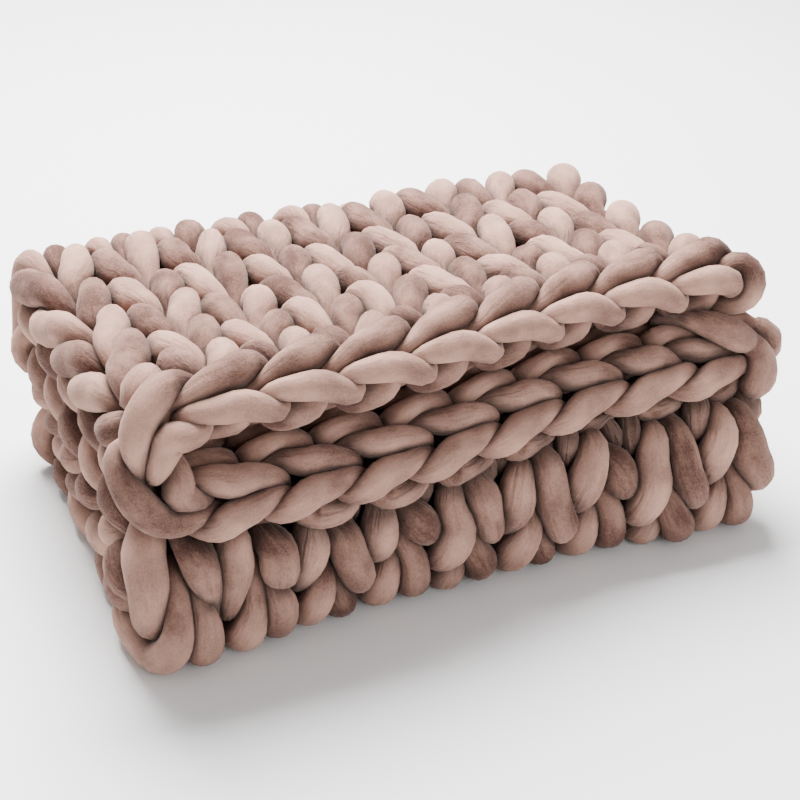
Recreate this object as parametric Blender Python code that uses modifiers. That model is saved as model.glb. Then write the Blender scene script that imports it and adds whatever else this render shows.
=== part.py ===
"""Chunky knit throw blanket, doubled once and then folded in three.

The throw is one sheet of thick knitted tube.  It is first doubled across its
width, so that the fold lies at the left (-X) and both side edges lie at the
right (+X).  The doubled band is then folded in three from front to back: the
top fold runs to the back, the middle fold comes forward and the bottom fold
runs to the back again.  The cast-on edge ends the top fold at the front (-Y),
where its two halves gape; the cast-off edge ends the bottom fold at the back.

Metres, +Z up, standing on the plane z = 0, origin under the middle of the box.
"""

import math
from typing import NamedTuple

import bpy

# ---- driving dimensions (metres) -------------------------------------------

SHEET = 0.037            # thickness of the knit: two squashed tubes
EDGE_ROLL = 0.056        # thickness of the chain along the cast-on edge
EDGE_ROLL_REACH = 0.060  # how far the chain reaches in from that edge
GAP = 0.0055             # clearance between sheets that lie on one another
FRONT_TURN_Y = -0.157    # where the bend between middle and bottom folds starts
BACK_TURN_Y = 0.169      # where the bend between top and middle folds starts
CAST_ON_Y = -0.226       # front end of the top fold
CAST_OFF_Y = 0.184       # back end of the bottom fold
OUTER_REACH = 0.064      # how far the outer sheet of a bend stands beyond its start
OUTER_SQUARE = 3.0       # its outline is a superellipse: 2 is round, more is squarer
SPREAD = 0.14            # the doubled side lies deeper than the open one, per metre
DRAWN_A = 0.050          # the upper sheet's open corner at the front is drawn back this far
DRAWN_B = 0.030          # and that of the sheet below it
FLARE = 0.018            # the ends of the lowest front edge stand this much further forward
SETTLE = 0.012           # uneven settling, as a share of the height
RIM_ROUND = 0.012        # rounding of the free edges

# ---- sizes that follow ------------------------------------------------------

PITCH = SHEET + GAP                  # from one sheet's middle to the next
HALF_DOUBLE = PITCH / 2              # doubled band: its middle to each sheet
BOTTOM_Z = SHEET / 2 + HALF_DOUBLE   # middle of the bottom fold's band
MIDDLE_Z = BOTTOM_Z + 2 * PITCH
TOP_Z = MIDDLE_Z + 2 * PITCH

# ---- the folds, in the order in which the band runs -------------------------


class Fold(NamedTuple):
    """One run of the doubled band between two bends, from its start to its end."""
    start_y: float
    end_y: float
    start_z: float       # height of the band's middle
    end_z: float
    start_half: float    # half the distance between the two sheets' middles
    end_half: float
    start_left: float    # x of the doubled fold's outside
    end_left: float
    start_right_a: float  # x where sheet A ends at the right
    end_right_a: float
    start_right_b: float  # x where sheet B ends at the right
    end_right_b: float
    cells: int           # mesh cells along the run


FOLDS = {
    "top": Fold(CAST_ON_Y, BACK_TURN_Y, 0.244, TOP_Z, 0.046, HALF_DOUBLE,
                -0.374, -0.380, 0.360, 0.352, 0.380, 0.354, 11),
    "middle": Fold(BACK_TURN_Y, FRONT_TURN_Y, MIDDLE_Z, MIDDLE_Z, HALF_DOUBLE, HALF_DOUBLE,
                   -0.376, -0.370, 0.352, 0.366, 0.350, 0.370, 6),
    "bottom": Fold(FRONT_TURN_Y, CAST_OFF_Y, BOTTOM_Z, BOTTOM_Z, HALF_DOUBLE, HALF_DOUBLE,
                   -0.370, -0.366, 0.364, 0.352, 0.368, 0.356, 7),
}
GAPE_EASE = 1.5          # how soon the gape at the front closes along the top fold
TURN_CELLS = 14          # mesh cells round each bend of the band
DOUBLED_CELLS = 8        # mesh cells round the doubled fold at the left
WIDTH_CELLS = 7          # mesh cells across each sheet


class Station(NamedTuple):
    """Where the band's two sheets and its edges are at one place along its run."""
    a_y: float           # middle of sheet A
    a_z: float
    b_y: float           # middle of sheet B
    b_z: float
    left: float
    right_a: float
    right_b: float
    open_share: float    # 1 at the cast-on edge, 0 where the top fold ends


def blend(start, end, share):
    return start + (end - start) * share


def eased(share):
    share = min(max(share, 0.0), 1.0)
    return share * share * (3.0 - 2.0 * share)


def chain_share(station):
    """How much of the chain's extra thickness a station has: 1 at the cast-on edge."""
    inward = (station.a_y - CAST_ON_Y) / EDGE_ROLL_REACH
    if station.open_share <= 0.0 or inward >= 1.0:
        return 0.0
    return math.sqrt(1.0 - inward ** 2)


def fold_stations(fold, ease=1.0, opens=False):
    """Stations along one fold; sheet A is above on folds that run to the back."""
    side = 1.0 if fold.end_y > fold.start_y else -1.0
    stations = []
    for cell in range(fold.cells + 1):
        share = cell / fold.cells
        closed = 1.0 - (1.0 - share) ** ease
        y = blend(fold.start_y, fold.end_y, share)
        z = blend(fold.start_z, fold.end_z, closed)
        half = side * blend(fold.start_half, fold.end_half, closed)
        stations.append(Station(
            y, z + half, y, z - half,
            blend(fold.start_left, fold.end_left, share),
            blend(fold.start_right_a, fold.end_right_a, share),
            blend(fold.start_right_b, fold.end_right_b, share),
            1.0 - share if opens else 0.0))
    return stations


def bend_point(y, top_z, bottom_z, side, reach, square, angle):
    """A point of a sheet's half turn, a superellipse between two heights."""
    across, rise = abs(math.cos(angle)), math.sin(angle)
    radius = (across ** square + abs(rise) ** square) ** (-1.0 / square)
    return (y + side * reach * across * radius,
            (top_z + bottom_z) / 2 + (top_z - bottom_z) / 2 * rise * radius)


def turn_stations(before, after, side, outer_is_a):
    """Stations inside a bend: side +1 bulges to the back, -1 to the front."""
    first = fold_stations(before)[-1]
    last = fold_stations(after)[0]
    shape_a = (OUTER_REACH, OUTER_SQUARE) if outer_is_a else (HALF_DOUBLE, 2.0)
    shape_b = (HALF_DOUBLE, 2.0) if outer_is_a else (OUTER_REACH, OUTER_SQUARE)
    stations = []
    for cell in range(1, TURN_CELLS):
        share = cell / TURN_CELLS
        angle = math.pi * (0.5 - share)
        a_y, a_z = bend_point(before.end_y, first.a_z, last.a_z, side, *shape_a, angle)
        b_y, b_z = bend_point(before.end_y, first.b_z, last.b_z, side, *shape_b, angle)
        stations.append(Station(
            a_y, a_z, b_y, b_z,
            blend(before.end_left, after.start_left, share),
            blend(before.end_right_a, after.start_right_a, share),
            blend(before.end_right_b, after.start_right_b, share),
            0.0))
    return stations


def band_stations():
    """The whole run: top fold, back bend, middle fold, front bend, bottom fold."""
    top, middle, bottom = FOLDS["top"], FOLDS["middle"], FOLDS["bottom"]
    return (fold_stations(top, GAPE_EASE, True)
            + turn_stations(top, middle, 1.0, True)
            + fold_stations(middle)
            + turn_stations(middle, bottom, -1.0, False)
            + fold_stations(bottom))


def settled(x, y, z, drawn):
    """Where a point of the evenly folded band lies in the pile as it has settled."""
    y = (y + drawn) * (1.0 - SPREAD * x)
    y -= FLARE * (x / 0.33) ** 2 * eased((0.17 - z) / 0.14) * eased((-0.16 - y) / 0.10)
    wave = (math.sin(9.0 * x + 4.0 * y + 0.6)
            + 0.6 * math.sin(17.0 * x - 11.0 * y + 2.1)
            + 0.5 * math.cos(13.0 * y - 5.0 * x))
    return (x, y, z + (z - SHEET / 2) * SETTLE * wave)


def section_points(station):
    """Points of the doubled band: sheet A from the right, round the left, sheet B."""
    thickness = blend(SHEET, EDGE_ROLL, chain_share(station))
    half_y = (station.a_y - station.b_y) / 2
    half_z = (station.a_z - station.b_z) / 2
    half = math.hypot(half_y, half_z)
    centre_x = station.left + thickness / 2 + half
    across = []
    for cell in range(WIDTH_CELLS):
        across.append((blend(station.right_a, centre_x, cell / WIDTH_CELLS), 0.0))
    for cell in range(DOUBLED_CELLS + 1):
        angle = math.pi * cell / DOUBLED_CELLS
        across.append((centre_x - half * math.sin(angle), angle))
    for cell in range(1, WIDTH_CELLS + 1):
        across.append((blend(centre_x, station.right_b, cell / WIDTH_CELLS), math.pi))
    points = []
    for x, angle in across:
        y = (station.a_y + station.b_y) / 2 + half_y * math.cos(angle)
        z = (station.a_z + station.b_z) / 2 + half_z * math.cos(angle)
        upper = (1.0 + math.cos(angle)) / 2
        drawn = blend(DRAWN_B, DRAWN_A, upper) * eased((x + 0.09) / 0.31) * station.open_share
        points.append(settled(x, y, z, drawn))
    return points


def velvet_material():
    material = bpy.data.materials.new("taupe_velvet")
    material.use_nodes = True
    shader = material.node_tree.nodes["Principled BSDF"]
    shader.inputs["Base Color"].default_value = (0.46, 0.32, 0.27, 1.0)
    shader.inputs["Roughness"].default_value = 0.85
    shader.inputs["Metallic"].default_value = 0.0
    return material


def knit_blanket(collection):
    """The sheet's middle as a loft of stations, thickened to both sides."""
    stations = band_stations()
    sections = [section_points(station) for station in stations]
    across = len(sections[0])
    points = [point for section in sections for point in section]
    faces = []
    for row in range(len(sections) - 1):
        for column in range(across - 1):
            corner = row * across + column
            faces.append((corner, corner + 1, corner + across + 1, corner + across))
    mesh = bpy.data.meshes.new("knit_blanket")
    mesh.from_pydata(points, [], faces)
    mesh.update()

    blanket = bpy.data.objects.new("knit_blanket", mesh)
    collection.objects.link(blanket)
    blanket.data.materials.append(velvet_material())

    rolled = blanket.vertex_groups.new(name="cast_on_chain")
    for row, station in enumerate(stations):
        rolled.add(list(range(row * across, (row + 1) * across)), chain_share(station), "REPLACE")

    thicken = blanket.modifiers.new("thickness", "SOLIDIFY")
    thicken.thickness = EDGE_ROLL
    thicken.vertex_group = rolled.name
    thicken.thickness_vertex_group = SHEET / EDGE_ROLL
    thicken.offset = 0.0

    soften = blanket.modifiers.new("rounded_rim", "BEVEL")
    soften.limit_method = "ANGLE"
    soften.angle_limit = math.radians(60.0)
    soften.width = RIM_ROUND
    soften.segments = 2
    soften.use_clamp_overlap = False

    mesh.shade_smooth()
    return blanket


def build():
    for leftover in list(bpy.data.objects):
        bpy.data.objects.remove(leftover)
    scene = bpy.context.scene
    scene.unit_settings.system = "METRIC"
    scene.unit_settings.length_unit = "METERS"
    collection = bpy.data.collections.new("chunky_knit_blanket")
    scene.collection.children.link(collection)
    knit_blanket(collection)


build()
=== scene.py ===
"""A folded throw, hand-knitted from one fat, soft velvet tube, in a plain studio."""

import math
from typing import NamedTuple

import bpy
import numpy as np
from mathutils import Matrix, Vector


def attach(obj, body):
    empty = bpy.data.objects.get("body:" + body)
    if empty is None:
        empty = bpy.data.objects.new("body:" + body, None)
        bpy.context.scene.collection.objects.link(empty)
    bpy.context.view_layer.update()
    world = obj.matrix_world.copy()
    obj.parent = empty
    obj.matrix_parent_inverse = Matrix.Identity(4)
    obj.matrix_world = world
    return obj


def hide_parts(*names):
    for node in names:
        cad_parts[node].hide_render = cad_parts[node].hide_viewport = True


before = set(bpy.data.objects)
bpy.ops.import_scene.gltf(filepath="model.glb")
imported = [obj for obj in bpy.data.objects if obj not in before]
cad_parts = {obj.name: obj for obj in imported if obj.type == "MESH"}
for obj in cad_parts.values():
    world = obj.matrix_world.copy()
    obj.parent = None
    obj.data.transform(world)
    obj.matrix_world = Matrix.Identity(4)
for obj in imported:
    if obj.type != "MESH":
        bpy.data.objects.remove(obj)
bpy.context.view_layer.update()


# ---- The view ----------------------------------------------------------------
# A long lens a little above the pile, to the left of square on, so that the
# open front, the top and a sliver of the doubled left side all show.

LENS = 90.0                 # mm, on a frame 36 mm wide
FRAME_WIDTH = 36.0
VIEW_ROUND = 21.7           # degrees from the front towards the left
VIEW_UP = 30.6              # degrees above the table
VIEW_DISTANCE = 2.295
AIM_HEIGHT = 0.120
AIM_RIGHT = 0.0148          # the pile sits a little left of the middle of the picture
AIM_UP = -0.0083            # and a little above it

turned = math.radians(VIEW_ROUND)
raised = math.radians(VIEW_UP)
to_camera = Vector((-math.sin(turned) * math.cos(raised),
                    -math.cos(turned) * math.cos(raised),
                    math.sin(raised)))
view_right = Vector((math.cos(turned), -math.sin(turned), 0.0))
view_up = to_camera.cross(view_right)
camera = bpy.data.objects.new("camera", bpy.data.cameras.new("camera"))
camera.data.lens = LENS
camera.data.sensor_width = FRAME_WIDTH
camera.location = (Vector((0.0, 0.0, AIM_HEIGHT)) + view_right * AIM_RIGHT + view_up * AIM_UP
                   + to_camera * VIEW_DISTANCE)
camera.rotation_euler = Matrix((view_right, view_up, to_camera)).transposed().to_euler()
bpy.context.scene.collection.objects.link(camera)
bpy.context.scene.camera = camera


# ---- The sheet as it is folded -----------------------------------------------
# The finished knit is doubled across its width, fold to the left, and the
# doubled band is folded in three: top fold to the back, middle fold forward,
# bottom fold to the back. Nothing holds the folds but their own weight.

COLUMNS = 18                # stitches across the whole sheet, nine in each half
LAYER = 0.0425              # from the middle of one sheet to the next
LOWEST = 0.0215             # middle of the lowest sheet
DENSE = 400                 # samples a metre along a fold
BEND_SAMPLES = 60           # and round a bend
OUTER_SQUARE = 4.4          # a bend's outer sheet is a superellipse: 2 is round, more is squarer
INNER_SQUARE = 2.4          # and so is its inner sheet
SIDE_SQUARE = 2.7           # and the doubled fold at the left
OUTER_REACH = 0.062         # how far the outer sheet of a bend stands beyond where it starts
INNER_REACH = 0.022
TOP_LOOSE = 0.006           # the top fold has nothing on it and lies this much higher
GAPE_EASE = 1.5             # above 1, the open front closes sooner
DROOP = 0.015               # the lower edge of the open front hangs this far down and forward
DROOP_REACH = 0.25          # over this share of the top fold


class Run(NamedTuple):
    """One fold of the doubled band, from its start to its end."""
    start_y: float
    end_y: float
    start_z: float
    end_z: float
    start_half: float       # half the distance between the two sheets
    end_half: float
    start_left: float       # x of the sheet's middle at the doubled fold
    end_left: float
    start_right_a: float    # x where the sheet first above (A) ends at the right
    end_right_a: float
    start_right_b: float    # the same for the sheet first below (B)
    end_right_b: float


bottom_z = LOWEST + LAYER / 2
middle_z = bottom_z + 2 * LAYER
top_z = middle_z + 2 * LAYER
half = LAYER / 2
TOP = Run(-0.222, 0.172, 0.242, top_z + TOP_LOOSE, 0.047, half,
          -0.341, -0.352, 0.335, 0.325, 0.358, 0.330)
MIDDLE = Run(0.172, -0.158, middle_z, middle_z, half, half,
             -0.350, -0.344, 0.330, 0.350, 0.325, 0.354)
BOTTOM = Run(-0.158, 0.180, bottom_z, bottom_z, half, half,
             -0.344, -0.338, 0.350, 0.328, 0.354, 0.333)


def run_samples(run, ease):
    """Rows of: y and z of sheet A, y and z of sheet B, left, right of A, right of B."""
    share = np.linspace(0.0, 1.0, int(abs(run.end_y - run.start_y) * DENSE))
    closing = 1.0 - (1.0 - share) ** ease

    def between(start, end, along):
        return start + (end - start) * along

    y = between(run.start_y, run.end_y, share)
    z = between(run.start_z, run.end_z, closing)
    gap = between(run.start_half, run.end_half, closing) * np.sign(run.end_y - run.start_y)
    return np.stack([y, z + gap, y, z - gap,
                     between(run.start_left, run.end_left, share),
                     between(run.start_right_a, run.end_right_a, share),
                     between(run.start_right_b, run.end_right_b, share)], axis=1)


def bend_samples(before, after, side, outer_is_a):
    """Rows for a half turn; side is 1 at the back and -1 at the front."""
    share = np.linspace(0.0, 1.0, BEND_SAMPLES + 2)[1:-1, None]
    samples = before + (after - before) * share
    angle = math.pi * (0.5 - share[:, 0])
    for sheet in (0, 2):
        outer = (sheet == 0) == outer_is_a
        power = 2.0 / (OUTER_SQUARE if outer else INNER_SQUARE)
        reach = OUTER_REACH if outer else INNER_REACH
        samples[:, sheet] += side * reach * np.cos(angle) ** power
        middle = (before[sheet + 1] + after[sheet + 1]) / 2
        height = (before[sheet + 1] - after[sheet + 1]) / 2
        rise = np.sin(angle)
        samples[:, sheet + 1] = middle + height * np.sign(rise) * np.abs(rise) ** power
    return samples


top_run = run_samples(TOP, GAPE_EASE)
droop = DROOP * np.clip(1.0 - np.linspace(0.0, 1.0, len(top_run)) / DROOP_REACH, 0.0, 1.0) ** 2
top_run[:, 2] -= droop
top_run[:, 3] -= droop
middle_run = run_samples(MIDDLE, 1.0)
bottom_run = run_samples(BOTTOM, 1.0)
band = np.concatenate([top_run,
                       bend_samples(top_run[-1], middle_run[0], 1.0, True), middle_run,
                       bend_samples(middle_run[-1], bottom_run[0], -1.0, False), bottom_run])


def sheet_facing(line):
    """The heading of a line of y and z, smoothed, and the direction to the left of it."""
    heading = np.gradient(line, axis=0)
    heading = (heading + np.roll(heading, 2, axis=0) + np.roll(heading, -2, axis=0)) / 3.0
    heading[:2] = heading[2]
    heading[-2:] = heading[-3]
    heading /= np.linalg.norm(heading, axis=1, keepdims=True)
    return heading, np.stack([-heading[:, 1], heading[:, 0]], axis=1)


heading_a, facing_a = sheet_facing(band[:, 0:2])
facing_b = -sheet_facing(band[:, 2:4])[1]       # the smooth side of sheet B is to its right


def run_length(line):
    steps = np.linalg.norm(np.diff(line, axis=0), axis=1)
    return np.concatenate([[0.0], np.cumsum(steps)])


length_a = run_length(band[:, 0:2])
length_b = run_length(band[:, 2:4])
SHEET_LENGTH = float((length_a[-1] + length_b[-1]) / 2)
sample_number = np.arange(len(band))
table = np.concatenate([band, facing_a, facing_b], axis=1)


class Ramp(NamedTuple):
    """Where something starts to come or go, and the length over which it does so."""
    start: float
    length: float


DRAWN_A = 0.050             # the right of the upper sheet is drawn this far back
DRAWN_B = 0.030             # and that of the sheet below it
DRAWN_COLUMNS_A = Ramp(5.5, 4.0)        # ramps are in columns or metres
DRAWN_COLUMNS_B = Ramp(12.0, 4.0)
DRAWN_RUN = Ramp(0.80, 0.40)
LIFTED = 0.006              # the right of the top fold stands this much higher
LIFTED_COLUMNS_A = Ramp(7.0, 3.5)
LIFTED_COLUMNS_B = Ramp(11.0, 3.5)
CORNER_A = Ramp(1.5, 1.5)   # its very corner drops back
CORNER_B = Ramp(16.5, 1.5)
CORNER_DROP_A = 0.5         # by this share of the lift
CORNER_DROP_B = 0.3
LIFTED_RUN = Ramp(0.26, 0.24)
SLIP = 0.048                # round the front bend the outer sheet lags this far behind
SLIP_COMES = Ramp(0.50, 0.35)
SLIP_GOES = Ramp(1.32, 0.28)
SPREAD = 0.14               # the doubled side lies deeper than the open one
FLARE = 0.026               # the ends of the lowest front edge stand this much further forward
FLARE_WIDTH = 0.33          # at this distance from the middle
FLARE_HEIGHT = Ramp(0.16, 0.12)
FLARE_DEPTH = Ramp(0.0, 0.22)
ROUND_LEFT = 3.0            # columns to either side of the middle that go round the doubled fold


def eased(share):
    share = np.clip(share, 0.0, 1.0)
    return share * share * (3.0 - 2.0 * share)


def rising(value, ramp):
    return eased((value - ramp.start) / ramp.length)


def falling(value, ramp):
    return eased((ramp.start - value) / ramp.length)


def drawn_back(column, run):
    upper = DRAWN_A * falling(column, DRAWN_COLUMNS_A)
    lower = DRAWN_B * rising(column, DRAWN_COLUMNS_B)
    return (upper + lower) * falling(run, DRAWN_RUN)


def lifted(column, run):
    upper = falling(column, LIFTED_COLUMNS_A) - CORNER_DROP_A * falling(column, CORNER_A)
    lower = rising(column, LIFTED_COLUMNS_B) - CORNER_DROP_B * rising(column, CORNER_B)
    return LIFTED * (upper + lower) * falling(run, LIFTED_RUN)


def lay(column, run, out):
    """Where points of the sheet lie in the pile.

    A point is given by its column of stitches, how far it is from the cast-on edge
    along the sheet, and how far it stands out of the knit on its smooth side.
    """
    rise = lifted(column, run)
    run = run + drawn_back(column, run)
    step_a = np.interp(run, length_a * SHEET_LENGTH / length_a[-1], sample_number)
    lag = SLIP * rising(run, SLIP_COMES) * falling(run, SLIP_GOES)
    step_b = np.interp(run - lag, length_b * SHEET_LENGTH / length_b[-1], sample_number)
    across = eased((column - COLUMNS / 2 + ROUND_LEFT) / (2.0 * ROUND_LEFT))
    step = step_a + (step_b - step_a) * across
    a_y, a_z, b_y, b_z, left, right_a, right_b, out_ay, out_az, out_by, out_bz = (
        np.interp(step, sample_number, table[:, k]) for k in range(table.shape[1]))
    beyond = run - np.clip(run, 0.0, SHEET_LENGTH)      # either end of the sheet
    gap_y = (a_y - b_y) / 2
    gap_z = (a_z - b_z) / 2
    gap = np.hypot(gap_y, gap_z)

    centre = left + gap
    straight_a = right_a - centre
    straight_b = right_b - centre
    arc = math.pi * gap
    place = column / COLUMNS * (straight_a + arc + straight_b)
    angle = np.clip((place - straight_a) / gap, 0.0, math.pi)
    right_of_fold = np.where(place < straight_a, straight_a - place,
                             np.maximum(place - straight_a - arc, 0.0))
    squared_sin = np.sin(angle) ** (2.0 / SIDE_SQUARE)
    squared_cos = np.sign(np.cos(angle)) * np.abs(np.cos(angle)) ** (2.0 / SIDE_SQUARE)
    x = centre + right_of_fold - gap * squared_sin - out * np.sin(angle)
    upper = np.maximum(np.cos(angle), 0.0)
    lower = np.maximum(-np.cos(angle), 0.0)
    y = (a_y + b_y) / 2 + gap_y * squared_cos + out * (upper * out_ay + lower * out_by)
    z = (a_z + b_z) / 2 + gap_z * squared_cos + out * (upper * out_az + lower * out_bz)
    y = y + beyond * np.where(run < 0.0, heading_a[0, 0], heading_a[-1, 0])
    y = y * (1.0 - SPREAD * x)
    low_front = falling(z, FLARE_HEIGHT) * falling(y, FLARE_DEPTH)
    return np.stack([x, y - FLARE * (x / FLARE_WIDTH) ** 2 * low_front, z + rise], axis=-1)


# ---- The knitted rows --------------------------------------------------------
# Plain knit in one velvet tube, smooth side out. Each stitch is a loop drawn
# through the one before it: two legs on the smooth side, head and foot behind.
# The rows run to and fro, and the tube turns back at the side edges.

ROWS = 16
ROW = 0.082                 # from one row to the next
BEADS = 18                  # points along one stitch
LOOP_HEIGHT = 0.80          # from the middle of a stitch to its head, in rows
LOOP_BULGE = 0.27           # how far a leg swings out of line, in stitches
LOOP_BULGE_B = 0.28         # and in sheet B
TO_B = Ramp(7.0, 4.0)       # the columns between the stitches of sheet A and those of sheet B
CREST = math.radians(78.0)  # a leg is stoutest and furthest out a little above its middle
LEG_OUT = 0.0115            # legs lie this far out
LOOP_IN = 0.0220            # heads and feet lie this far in
LEG_SQUARE = 0.70           # below 1 a leg stays out longer and dives in more steeply
FIRST_FOOT = 0.20           # the first row's feet are this share as long and end behind the chain
FOOT_IN = 0.012             # and this much further in
LEAN_A = -0.14              # how far a loop leans along the rows, in stitches a row
LEAN_B = -0.02
FIRST_ROW = 0.050           # middle of the first row, from the cast-on edge
GIRTH = 0.94                # as a share of the full tube's
LEG_GIRTH = 0.16            # legs are this much stouter than that, heads and feet slimmer
TAPER = 0.24                # and they thin out towards their feet
UNEVEN_COLUMN = 0.035       # how much hand-made stitches differ, in stitches
UNEVEN_RUN = 0.0035
UNEVEN_OUT = 0.0015
UNEVEN_GIRTH = 0.03


class Mark(NamedTuple):
    """A point of the tube in the knit."""
    column: float           # in stitches
    run: float              # from the cast-on edge
    out: float              # out of the knit on its smooth side
    girth: float            # as a share of the full tube's


# The first row turns back in a fat loop, which shows at the right of the open front.
# The others turn back a little beyond their last point.
CURL = (Mark(18.12, 0.034, -0.014, 1.00), Mark(18.30, 0.022, -0.008, 1.16),
        Mark(18.34, 0.034, 0.008, 1.16), Mark(18.20, 0.070, 0.008, 0.96))
SIDE_LOOP = Mark(0.22, 0.5 * ROW, 0.0, 0.0)

rng = np.random.default_rng(11)
turn = np.arange(COLUMNS * BEADS + 1) * (2.0 * math.pi / BEADS) - math.pi
stitch_place = (turn + math.pi) / (2.0 * math.pi)
stitch_marks = np.linspace(0.0, COLUMNS, 2 * COLUMNS + 1)
yarn = []                   # the marks of every row, in the order in which the tube passes them
for row in range(ROWS):
    on_b = rising(stitch_place, TO_B)
    column = stitch_place + (LOOP_BULGE + (LOOP_BULGE_B - LOOP_BULGE) * on_b) * np.sin(2.0 * turn)
    rise = LOOP_HEIGHT * np.cos(turn)
    phase = np.abs((turn + math.pi) % (2.0 * math.pi) - math.pi)
    phase = np.where(phase < CREST, phase / CREST, 1.0 + (phase - CREST) / (math.pi - CREST))
    wave = np.cos(math.pi * phase)
    out = ((LEG_OUT - LOOP_IN) / 2
           - (LEG_OUT + LOOP_IN) / 2 * np.sign(wave) * np.abs(wave) ** LEG_SQUARE)
    if row == 0:
        foot = np.clip(-np.cos(turn), 0.0, 1.0)
        rise = rise + foot * LOOP_HEIGHT * (1.0 - FIRST_FOOT)
        out = out - FOOT_IN * foot ** 2
    girth = GIRTH - LEG_GIRTH * wave - TAPER * np.clip(-np.cos(turn), 0.0, 1.0)
    lean = LEAN_A + (LEAN_B - LEAN_A) * on_b
    uneven = [np.interp(stitch_place, stitch_marks, rng.normal(0.0, 1.0, len(stitch_marks)))
              for _ in Mark._fields]
    points = np.stack([column + lean * rise + UNEVEN_COLUMN * uneven[0],
                       FIRST_ROW + ROW * (row + rise) + UNEVEN_RUN * uneven[1],
                       out + UNEVEN_OUT * uneven[2], girth + UNEVEN_GIRTH * uneven[3]], axis=1)
    goes_back = row % 2 == 1
    if goes_back:
        points = points[::-1]
    yarn.append(points)
    if row == 0:
        yarn.append(np.array(CURL))
    elif row < ROWS - 1:
        side = -SIDE_LOOP.column if goes_back else SIDE_LOOP.column
        yarn.append((points[-1] + SIDE_LOOP._replace(column=side))[None])


# ---- The cast-on chain -------------------------------------------------------
# A finger-worked chain of the same tube along the front edge; its links face
# outward like a plait, and the first row is drawn through the bumps behind it.
# Another such chain casts off the last row.


class Link(NamedTuple):
    """A point of one link: along the chain in links, across and outward in metres."""
    along: float
    across: float
    outward: float
    girth: float


HALF_LINK = (Link(-0.02, 0.003, -0.006, 0.62), Link(0.15, 0.004, 0.004, 0.70),
             Link(0.42, 0.009, 0.011, 0.92), Link(0.72, 0.014, 0.014, 1.02),
             Link(1.00, 0.018, 0.011, 0.98), Link(1.20, 0.017, -0.002, 0.80),
             Link(1.30, 0.008, -0.013, 0.72))
BUMP = (Link(0.04, 0.0, -0.015, 0.60), Link(0.22, 0.0, -0.022, 0.78),
        Link(0.48, 0.0, -0.026, 0.84), Link(0.74, 0.0, -0.024, 0.76),
        Link(0.94, 0.0, -0.013, 0.60))
OTHER_HALF = tuple(point._replace(across=-point.across) for point in reversed(HALF_LINK))
LINK = HALF_LINK + OTHER_HALF + BUMP
BUMP_DROP = 0.55            # the bumps hang down behind the upper chain
BUMP_DROP_B = 1.30          # and further behind the lower one
SLIMMER = 0.20              # the front strands of the upper chain are pulled this much thinner
SLIMMER_B = 0.6             # the lower chain's by this share of it, and its bumps are stouter
TURN_OVER = 2.0             # columns in which the upper chain becomes the lower one
CHAIN_TILT = math.radians(58.0)     # the chain's face turns this far up from facing front
CHAIN_RUN = 0.012           # the chain's middle, from the cast-on edge
CAST_OFF_RUN = FIRST_ROW + ROW * (ROWS - 0.1)       # and that of the cast-off chain


def chain_points(run, outside, first_column, step):
    """Marks of a chain; outside is 1 if it faces the start of the sheet and -1 if its end."""
    points = []
    for link in range(COLUMNS):
        for point in LINK:
            column = first_column + step * (link + point.along)
            share = min(max((COLUMNS / 2 - column) / TURN_OVER, -1.0), 1.0)
            upper, lower = max(share, 0.0), min(share, 0.0)
            tilt = CHAIN_TILT * share
            if point in BUMP:
                across = point.outward * (BUMP_DROP * upper + BUMP_DROP_B * lower)
                girth = point.girth * (1.0 - SLIMMER_B * SLIMMER * lower)
            elif point.across < 0.0:
                across = point.across
                girth = point.girth * (1.0 - SLIMMER * upper)
            else:
                across = point.across
                girth = point.girth * (1.0 + SLIMMER_B * SLIMMER * lower)
            forward = point.outward * math.cos(tilt) - across * math.sin(tilt)
            upward = point.outward * math.sin(tilt) + across * math.cos(tilt)
            points.append(Mark(column, run - outside * forward, upward, girth))
    return np.array(points)


# The tube starts inside the open front and wraps the right end of the lower chain.
# After the upper chain's last link it goes down round the right end of that one.
START = (Mark(16.80, 0.062, -0.040, 0.70), Mark(17.10, 0.042, -0.041, 0.88),
         Mark(17.44, 0.022, -0.038, 0.98), Mark(17.76, 0.002, -0.030, 0.94),
         Mark(17.96, 0.012, -0.020, 0.66), Mark(18.08, 0.002, -0.006, 0.88),
         Mark(17.98, -0.014, 0.010, 1.02), Mark(17.86, -0.004, 0.030, 0.88),
         Mark(18.00, 0.014, 0.016, 0.70))
END = (Mark(-0.12, 0.028, 0.004, 0.84), Mark(-0.24, 0.013, 0.006, 0.94),
       Mark(-0.27, 0.001, -0.008, 0.94), Mark(-0.16, 0.004, -0.026, 0.84),
       Mark(0.10, 0.014, -0.034, 0.70))
cast_on = np.concatenate([START, chain_points(CHAIN_RUN, 1.0, COLUMNS, -1), END])
cast_off = chain_points(CAST_OFF_RUN, -1.0, 0, 1)


# ---- One length of tube ------------------------------------------------------
# The whole throw is one tube. Its points are laid in the folded sheet, then
# they settle: touching stretches push one another apart, the tube keeps its
# length and its curves ease, and each point is drawn back to where it was laid.

STRETCHED = 0.15            # stitches drawn round the front bend spread out fatter
FRONT_BEND_DEPTH = Ramp(-0.15, 0.04)
FRONT_BEND_HEIGHT = Ramp(0.17, 0.04)
STEPS = 90
REST = 0.030                # two touching stretches of full girth settle this far apart
MAY_TOUCH = 1.4             # those nearer than this many times that may come to touch
LOOK_EVERY = 15             # steps between two looks for them
APART = 3                   # points along the tube before it can touch itself
SAME_LAYER = 2.6            # only stretches within this many rows and columns push
PUSH = 0.25                 # the share of each fault that one step puts right
TAUT = 0.3
SMOOTH = 0.06
HOLD = 0.05
LONGEST_MOVE = 0.003        # in one step
LOWEST_MIDDLE = 0.012       # the tube's middle comes no nearer to the table
BLOCK = 512                 # points that are looked at together

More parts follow.
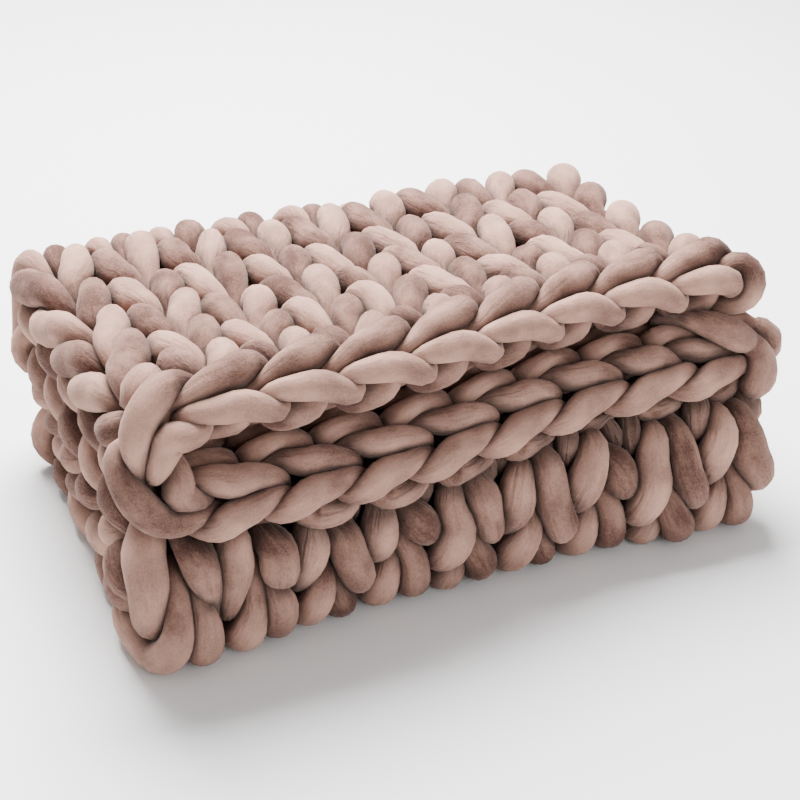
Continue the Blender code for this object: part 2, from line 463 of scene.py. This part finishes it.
marks = np.concatenate([cast_on] + yarn + [cast_off])
columns, runs, outs, girths = marks.T       # to change one of these is to change the marks
beads = lay(columns, runs, outs)
girths *= 1.0 + STRETCHED * (falling(beads[:, 1], FRONT_BEND_DEPTH)
                             * falling(beads[:, 2], FRONT_BEND_HEIGHT))


def close_pairs(points, reach, apart):
    """Pairs of points within reach, if more than a few points of the tube lie between them."""
    first, second = [], []
    for start in range(0, len(points), BLOCK):
        block = points[start:start + BLOCK]
        gaps = ((block[:, None, :] - points[None, :, :]) ** 2).sum(axis=2)
        i, j = np.nonzero(gaps < reach * reach)
        i = i + start
        keep = j - i > apart
        first.append(i[keep])
        second.append(j[keep])
    return np.concatenate(first), np.concatenate(second)


home = beads.copy()
laid_length = np.linalg.norm(np.diff(beads, axis=0), axis=1)
for step in range(STEPS):
    if step % LOOK_EVERY == 0:
        first, second = close_pairs(beads, REST * MAY_TOUCH, APART)
        same = np.abs(runs[first] - runs[second]) < SAME_LAYER * ROW
        same &= np.abs(columns[first] - columns[second]) < SAME_LAYER
        first, second = first[same], second[same]
        thickness = (girths[first] + girths[second]) / 2
    move = np.zeros_like(beads)
    offset = beads[second] - beads[first]
    distance = np.linalg.norm(offset, axis=1) + 1e-9
    push = np.maximum(REST * thickness - distance, 0.0) * PUSH
    push = offset / distance[:, None] * push[:, None]
    for axis in range(3):
        move[:, axis] -= np.bincount(first, push[:, axis], len(beads))
        move[:, axis] += np.bincount(second, push[:, axis], len(beads))
    along = np.diff(beads, axis=0)
    length = np.linalg.norm(along, axis=1)
    pull = along * ((length - laid_length) / length * TAUT)[:, None]
    move[:-1] += pull
    move[1:] -= pull
    move[1:-1] += SMOOTH * (0.5 * (beads[:-2] + beads[2:]) - beads[1:-1])
    move += HOLD * (home - beads)
    beads += np.clip(move, -LONGEST_MOVE, LONGEST_MOVE)
    beads[:, 2] = np.maximum(beads[:, 2], LOWEST_MIDDLE)


# ---- The stuffed tube --------------------------------------------------------
# Velvet sewn into a tube about 4 cm across and stuffed with soft fibre. Rings
# along it bulge where it is free, and flatten half way to the stretch beside
# them or at the table, as the stuffing does.

FULL = 0.0203               # the tube's radius where nothing presses on it
SIDES = 20
FINE = 6                    # steps of the smooth curve between two points
RING_SPACING = 0.0085       # on average
CROWDED = 0.72              # how closely rings follow one another where the tube is straight
CROWDED_TURNING = 0.70      # and how much more closely where it turns
OWN = 0.040                 # nearer than this along the tube, it doesn't press on itself
NEARBY = 2.4                # the rings that may press on one lie within this many radii of it
FREE = 1.0                  # the reach of a side that nothing presses on
LEAST = 0.003               # the nearest that a side comes to the tube's middle
TINY = 1e-5
DOWNWARD = 0.05             # the table presses on sides that face down more than this
EDGE_HARDNESS = 4.8         # more gives flatter sides with sharper edges between them
EVENINGS = 2                # passes that even out the sides and then the rings
SWELL = 1.08                # a squeezed ring bulges by up to this much where it is free
SKIN = 0.985                # leaves a hair's breadth between neighbours
TABLE = 0.0004              # and above the table


def smooth_line(points, fine):
    """A Catmull-Rom curve through the points, with fine steps between two of them."""
    ends = np.concatenate([2 * points[:1] - points[1:2], points, 2 * points[-1:] - points[-2:-1]])
    before, here, after, beyond = ends[:-3], ends[1:-2], ends[2:-1], ends[3:]
    pieces = []
    for part in range(fine):
        t = part / fine
        pieces.append(0.5 * (2 * here + (after - before) * t
                             + (2 * before - 5 * here + 4 * after - beyond) * t * t
                             + (3 * here - before - 3 * after + beyond) * t ** 3))
    return np.stack(pieces, axis=1).reshape(-1, points.shape[1])


fine_line = smooth_line(np.concatenate([beads, marks], axis=1), FINE)
fine_travel = run_length(fine_line[:, :3])
fine_steps = np.diff(fine_travel)
curvature = np.linalg.norm(np.diff(fine_line[:, :3], n=2, axis=0), axis=1) / fine_steps[1:] ** 2
crowding = CROWDED + CROWDED_TURNING * np.clip(curvature * FULL, 0.0, 1.0)
crowding = np.concatenate([crowding[:1], crowding]) * fine_steps
crowding = np.concatenate([[0.0], np.cumsum(crowding)])
stops = np.linspace(0.0, crowding[-1], int(fine_travel[-1] / RING_SPACING))
stops = np.interp(stops, crowding, fine_travel)
ring_line = np.stack([np.interp(stops, fine_travel, values) for values in fine_line.T], axis=1)
centre = ring_line[:, :3]
ring_column, ring_run, ring_out, ring_girth = ring_line[:, 3:].T
plump = FULL * ring_girth[:, None]
rings = len(centre)
tangent = np.gradient(centre, axis=0)
tangent /= np.linalg.norm(tangent, axis=1, keepdims=True)
travelled = run_length(centre)
sideways = np.zeros_like(centre)
sideways[0] = np.cross(tangent[0], (0.0, 0.0, 1.0))
for ring in range(1, rings):
    carried = sideways[ring - 1] - tangent[ring] * (sideways[ring - 1] @ tangent[ring])
    sideways[ring] = carried / np.linalg.norm(carried)
upright = np.cross(tangent, sideways)
round_angle = np.arange(SIDES) * (2.0 * math.pi / SIDES)
spokes = (np.cos(round_angle)[None, :, None] * sideways[:, None, :]
          + np.sin(round_angle)[None, :, None] * upright[:, None, :]).astype(np.float32)

# How far each side may reach: half way to the nearest stretch of tube that it faces.
reach = np.full((rings, SIDES), FREE, dtype=np.float32)
line = centre.astype(np.float32)
limit = NEARBY * FULL
for start in range(0, rings, BLOCK // 2):
    stop = min(start + BLOCK // 2, rings)
    offsets = line[None, :, :] - line[start:stop, None, :]
    squares = (offsets ** 2).sum(axis=2)
    own = np.abs(travelled[None, :] - travelled[start:stop, None]) < OWN
    i, j = np.nonzero((squares < limit * limit) & ~own)
    if not len(i):
        continue
    toward = np.einsum("psk,pk->ps", spokes[start + i], offsets[i, j])
    half_way = squares[i, j][:, None] / (2.0 * np.maximum(toward, TINY))
    cut = np.where(toward > TINY, half_way, FREE)
    order = np.flatnonzero(np.concatenate([[True], np.diff(i) > 0]))
    reach[start + i[order]] = np.minimum.reduceat(cut, order, axis=0)

to_table = centre[:, None, 2] / -np.minimum(spokes[:, :, 2], -DOWNWARD)
reach = np.minimum(reach, np.where(spokes[:, :, 2] < -DOWNWARD, to_table, FREE))
reach = np.maximum(reach, LEAST)


def rounded(full):
    """The lesser of the full radius and the reach, with the edge between them rounded."""
    radius = (full ** -EDGE_HARDNESS + reach ** -EDGE_HARDNESS) ** (-1.0 / EDGE_HARDNESS)
    for _ in range(EVENINGS):
        radius = 0.5 * radius + 0.25 * (np.roll(radius, 1, axis=1) + np.roll(radius, -1, axis=1))
        padded = np.concatenate([radius[:1], radius, radius[-1:]])
        radius = 0.5 * radius + 0.25 * (padded[:-2] + padded[2:])
    return radius


radius = rounded(plump)
kept = np.sqrt((radius ** 2).mean(axis=1, keepdims=True)) / plump
radius = rounded(plump * np.clip(kept ** -0.5, 1.0, SWELL))
skin = centre[:, None, :] + spokes * (radius * SKIN)[:, :, None]
skin[:, :, 2] = np.maximum(skin[:, :, 2], TABLE)


# ---- Velvet ------------------------------------------------------------------
# Short-pile velvet in dusty pink, its pile leaning along the tube. Painted sheen and
# shade in the base colour make a leg that runs back or rises to the right pale, its
# neighbour darker. Rings carry this painted tone, squeeze and painted shade as attributes.

PALE = (0.500, 0.288, 0.221, 1.0)
DEEP = (0.095, 0.045, 0.035, 1.0)
SHEEN = (1.0, 0.78, 0.70, 1.0)
EVEN_TONE = 0.5             # half way from the deep colour to the pale one
SHEEN_BACKWARD = 0.27        # painted sheen: this much paler where the tube runs backward
LIT_SLANTING = 0.76        # painted light from the upper left: paler where it rises to the right rather than to the left
SLANT_MEAN = 0.42            # less this, so that the two even out
SHADE_PLAITED = -0.24        # painted light and shade: paler where a strand of the upper chain runs to the left
PLAITED_SIDE = 0.25         # with this share of it round the doubled fold
PLAITED_LOWER = -0.3        # and this on the lower chain
CHAIN_END = 2.0             # points over which the chain's painted tone gives way to that of the rows
SQUEEZED = Ramp(0.86, 0.36)         # a ring is pleated as it keeps less than this of its radius
SPREADING = np.array([1, 2, 3, 4, 3, 2, 1]) / 10.0      # and the pleats run on along the tube
PRESSED = Ramp(0.98, 0.14)          # a side gets painted crease shade as it keeps less than this of its radius
INNER_SIDE = Ramp(-0.004, 0.016)    # strands further in than this lie in shade
OPEN_FRONT = Ramp(0.26, 0.10)       # but those that the open front shows do so less
OPEN_SHARE = 0.85                   # by this share

squeezed = np.clip((SQUEEZED.start - kept[:, 0]) / SQUEEZED.length, 0.0, 1.0)
squeezed = np.clip(np.convolve(squeezed, SPREADING, mode="same"), 0.0, 1.0)
painted_crease_shade = np.clip((PRESSED.start - radius / plump) / PRESSED.length, 0.0, 1.0)
in_row = np.zeros(len(marks))
in_row[len(cast_on):len(marks) - len(cast_off)] = 1.0
ring_mark = np.interp(stops, fine_travel, np.arange(len(fine_travel)) / FINE)
ring_in_row = np.interp(ring_mark, np.arange(len(marks)), in_row)
ring_first_chain = np.clip((len(cast_on) - ring_mark) / CHAIN_END, 0.0, 1.0)
ring_upper = np.clip((COLUMNS / 2 - ring_column) / TURN_OVER, -1.0, 1.0)
# Painted sheen and painted light: the base tone is set by which way the tube runs.
backward = SHEEN_BACKWARD * tangent[:, 1] * ring_in_row
slant = 0.5 * (tangent[:, 0] + tangent[:, 2]) ** 2 - SLANT_MEAN
painted_light_slanting = LIT_SLANTING * slant * (1.0 - tangent[:, 1] ** 2)
painted_chain_shade = SHADE_PLAITED * tangent[:, 0] * ring_first_chain
painted_chain_shade = painted_chain_shade * np.clip(ring_upper + PLAITED_SIDE, PLAITED_LOWER, 1.0)
painted_sheen_tone = EVEN_TONE + backward + painted_light_slanting + painted_chain_shade
shaded = np.clip(INNER_SIDE.start - ring_out, 0.0, INNER_SIDE.length)
shaded = ring_in_row * shaded / INNER_SIDE.length
shaded *= 1.0 - OPEN_SHARE * falling(ring_run, OPEN_FRONT)

velvet = bpy.data.materials.new("velvet")
velvet.use_nodes = True
nodes = velvet.node_tree.nodes
links = velvet.node_tree.links
shader = nodes["Principled BSDF"]
shader.inputs["Roughness"].default_value = 0.9
shader.inputs["Specular IOR Level"].default_value = 0.15
shader.inputs["Sheen Weight"].default_value = 0.20
shader.inputs["Sheen Roughness"].default_value = 0.35
shader.inputs["Sheen Tint"].default_value = SHEEN


class Noise(NamedTuple):
    """One kind of unevenness of the velvet, and how much it changes its tone and height."""
    stretch: float          # below 1 it is drawn out along the tube
    scale: float
    detail: float
    roughness: float
    tone: float
    height: float


PATCHES = Noise(0.75, 34.0, 1.0, 0.5, 1.05, 1.5)
BRUSHED = Noise(0.9, 95.0, 2.0, 0.5, 0.35, 0.7)
FUZZ = Noise(0.8, 620.0, 3.0, 0.75, 0.80, 0.45)
# pleats are bumps whose valleys are also painted darker, as painted shade
PLEATS = Noise(0.22, 165.0, 1.0, 0.5, -0.22, -1.0)
PLEAT_LEVEL = 0.49          # noise below this is the valley of a pleat
PLEAT_SLOPE = 8.0
INNER_SHADE_TONE = 0.35          # painted shade: the inner side is this much nearer to the deep colour
INNER_SHADE_DARKER = 0.40        # and this much darker
CREASE_SHADE_DARKER = 0.60        # painted shade: creases are this much darker
CREASE_SHADE_GREYER = 0.10        # and this much greyer


def attribute(name, output="Fac"):
    node = nodes.new("ShaderNodeAttribute")
    node.attribute_name = name
    return node.outputs[output]


def math_node(kind, first, second, clamp=False):
    node = nodes.new("ShaderNodeMath")
    node.operation = kind
    node.use_clamp = clamp
    for socket, value in zip(node.inputs, (first, second)):
        if hasattr(value, "is_output"):
            links.new(value, socket)
        else:
            socket.default_value = value
    return node.outputs[0]


def noise_node(source, kind):
    mapping = nodes.new("ShaderNodeMapping")
    mapping.inputs["Scale"].default_value = (1.0, 1.0, kind.stretch)
    links.new(source, mapping.inputs["Vector"])
    noise = nodes.new("ShaderNodeTexNoise")
    noise.inputs["Scale"].default_value = kind.scale
    noise.inputs["Detail"].default_value = kind.detail
    noise.inputs["Roughness"].default_value = kind.roughness
    links.new(mapping.outputs[0], noise.inputs["Vector"])
    return noise.outputs["Fac"]


along_tube = attribute("along_tube", "Vector")
# inside: painted shade on strands that lie deep in the knit
inside = attribute("inside")
painted_crease_shade_mask = attribute("painted_crease_shade_mask")

valleys = math_node("SUBTRACT", PLEAT_LEVEL, noise_node(along_tube, PLEATS))
valleys = math_node("MULTIPLY", valleys, PLEAT_SLOPE, clamp=True)
valleys = math_node("MULTIPLY", valleys, attribute("pinched"))
# The tone starts from the painted sheen and painted light set by the tube's direction.
tone = attribute("painted_sheen_and_shade")
height = math_node("MULTIPLY", valleys, PLEATS.height)
for kind in (PATCHES, BRUSHED, FUZZ):
    noise = noise_node(along_tube, kind)
    change = math_node("MULTIPLY", math_node("SUBTRACT", noise, 0.5), kind.tone)
    tone = math_node("ADD", tone, change)
    height = math_node("ADD", height, math_node("MULTIPLY", noise, kind.height))
# Painted shade: the pleat valleys darken the tone as well as the bump.
tone = math_node("ADD", tone, math_node("MULTIPLY", valleys, PLEATS.tone))
tone = math_node("SUBTRACT", tone, math_node("MULTIPLY", inside, INNER_SHADE_TONE), clamp=True)
colour = nodes.new("ShaderNodeMix")
colour.data_type = "RGBA"
colour.inputs["A"].default_value = DEEP
colour.inputs["B"].default_value = PALE
links.new(tone, colour.inputs["Factor"])

# Painted shade: creases and the inner side of the knit are darkened in the base colour, creases
# also greyed.
darker = math_node("ADD", math_node("MULTIPLY", painted_crease_shade_mask, CREASE_SHADE_DARKER),
                   math_node("MULTIPLY", inside, INNER_SHADE_DARKER))
greyer = math_node("MULTIPLY", painted_crease_shade_mask, CREASE_SHADE_GREYER)
painted_shade_node = nodes.new("ShaderNodeHueSaturation")
links.new(colour.outputs["Result"], painted_shade_node.inputs["Color"])
links.new(math_node("SUBTRACT", 1.0, darker, clamp=True), painted_shade_node.inputs["Value"])
links.new(math_node("SUBTRACT", 1.0, greyer), painted_shade_node.inputs["Saturation"])
links.new(painted_shade_node.outputs["Color"], shader.inputs["Base Color"])

bump = nodes.new("ShaderNodeBump")
bump.inputs["Strength"].default_value = 0.55
bump.inputs["Distance"].default_value = 0.004
links.new(height, bump.inputs["Height"])
links.new(bump.outputs["Normal"], shader.inputs["Normal"])


# ---- The five lengths of tube ------------------------------------------------
# The throw is shown as five lengths of its one tube: the cast-on chain, the
# rows of the three folds and the cast-off chain. Nothing else is tied on.


def tube_piece(name, start, stop):
    """Rings start to stop of the tube, closed at both ends, as one piece."""
    stop = min(stop + 1, rings)
    count = stop - start
    ring_number, side = np.meshgrid(np.arange(count - 1), np.arange(SIDES), indexing="ij")
    here = ring_number * SIDES + side
    beside = ring_number * SIDES + (side + 1) % SIDES
    quads = np.stack([here, beside, beside + SIDES, here + SIDES], axis=-1).reshape(-1, 4)
    faces = [tuple(q) for q in quads.tolist()]
    faces.append(tuple(range(SIDES - 1, -1, -1)))
    faces.append(tuple(range((count - 1) * SIDES, count * SIDES)))
    mesh = bpy.data.meshes.new(name)
    mesh.from_pydata(skin[start:stop].reshape(-1, 3).tolist(), [], faces)
    mesh.shade_smooth()
    mesh.materials.append(velvet)
    # The painted sheen, the pleat mask and the painted inner shade go on as attributes.
    for label, values in (("painted_sheen_and_shade", painted_sheen_tone), ("pinched", squeezed), ("inside", shaded)):
        layer = mesh.attributes.new(label, "FLOAT", "POINT")
        values = np.repeat(values[start:stop], SIDES)
        layer.data.foreach_set("value", values.astype(np.float32))
    layer = mesh.attributes.new("painted_crease_shade_mask", "FLOAT", "POINT")
    layer.data.foreach_set("value", painted_crease_shade[start:stop].ravel().astype(np.float32))
    place = np.stack([np.tile(FULL * np.cos(round_angle), count),
                      np.tile(FULL * np.sin(round_angle), count),
                      np.repeat(travelled[start:stop], SIDES)], axis=1).astype(np.float32)
    layer = mesh.attributes.new("along_tube", "FLOAT_VECTOR", "POINT")
    layer.data.foreach_set("vector", place.ravel())
    piece = bpy.data.objects.new(name, mesh)
    bpy.context.scene.collection.objects.link(piece)
    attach(piece, "root")
    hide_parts("knit_blanket")


row_marks = np.linspace(len(cast_on), len(marks) - len(cast_off), 4)
row_rings = [int(np.searchsorted(ring_mark, mark)) for mark in row_marks]
tube_piece("cast_on_chain", 0, row_rings[0])
tube_piece("knit_top_fold", row_rings[0], row_rings[1])
tube_piece("knit_middle_fold", row_rings[1], row_rings[2])
tube_piece("knit_bottom_fold", row_rings[2], row_rings[3])
tube_piece("cast_off_chain", row_rings[3], rings)


# ---- The studio --------------------------------------------------------------
# A plain pale floor in an even white room, one large soft light above and
# behind the pile and a weak one in front.

FLOOR = 6.0                 # half the side of the floor
FLOOR_COLOUR = (0.93, 0.93, 0.93, 1.0)
ROOM_COLOUR = (1.0, 1.0, 1.0, 1.0)
ROOM_STRENGTH = 0.55
LIT_POINT = Vector((0.0, 0.0, 0.1))

floor_mesh = bpy.data.meshes.new("floor")
floor_corners = [(-FLOOR, -FLOOR, 0), (FLOOR, -FLOOR, 0), (FLOOR, FLOOR, 0), (-FLOOR, FLOOR, 0)]
floor_mesh.from_pydata(floor_corners, [], [(0, 1, 2, 3)])
floor = bpy.data.objects.new("floor", floor_mesh)
bpy.context.scene.collection.objects.link(floor)
paper = bpy.data.materials.new("paper")
paper.use_nodes = True
paper.node_tree.nodes["Principled BSDF"].inputs["Base Color"].default_value = FLOOR_COLOUR
floor_mesh.materials.append(paper)

world = bpy.data.worlds.new("studio")
world.use_nodes = True
world.node_tree.nodes["Background"].inputs["Color"].default_value = ROOM_COLOUR
world.node_tree.nodes["Background"].inputs["Strength"].default_value = ROOM_STRENGTH
bpy.context.scene.world = world


class Softbox(NamedTuple):
    name: str
    place: tuple
    size: float
    watts: float


OVERHEAD = Softbox("overhead", (0.1, 1.2, 2.2), 1.7, 385.0)
FRONT = Softbox("front", (0.7, -2.7, 1.2), 1.6, 40.0)
for box in (OVERHEAD, FRONT):
    light = bpy.data.lights.new(box.name, "AREA")
    light.size = box.size
    light.energy = box.watts
    lamp = bpy.data.objects.new(box.name, light)
    lamp.location = box.place
    aim = (LIT_POINT - Vector(box.place)).to_track_quat("-Z", "Y")
    lamp.rotation_euler = aim.to_euler()
    bpy.context.scene.collection.objects.link(lamp)
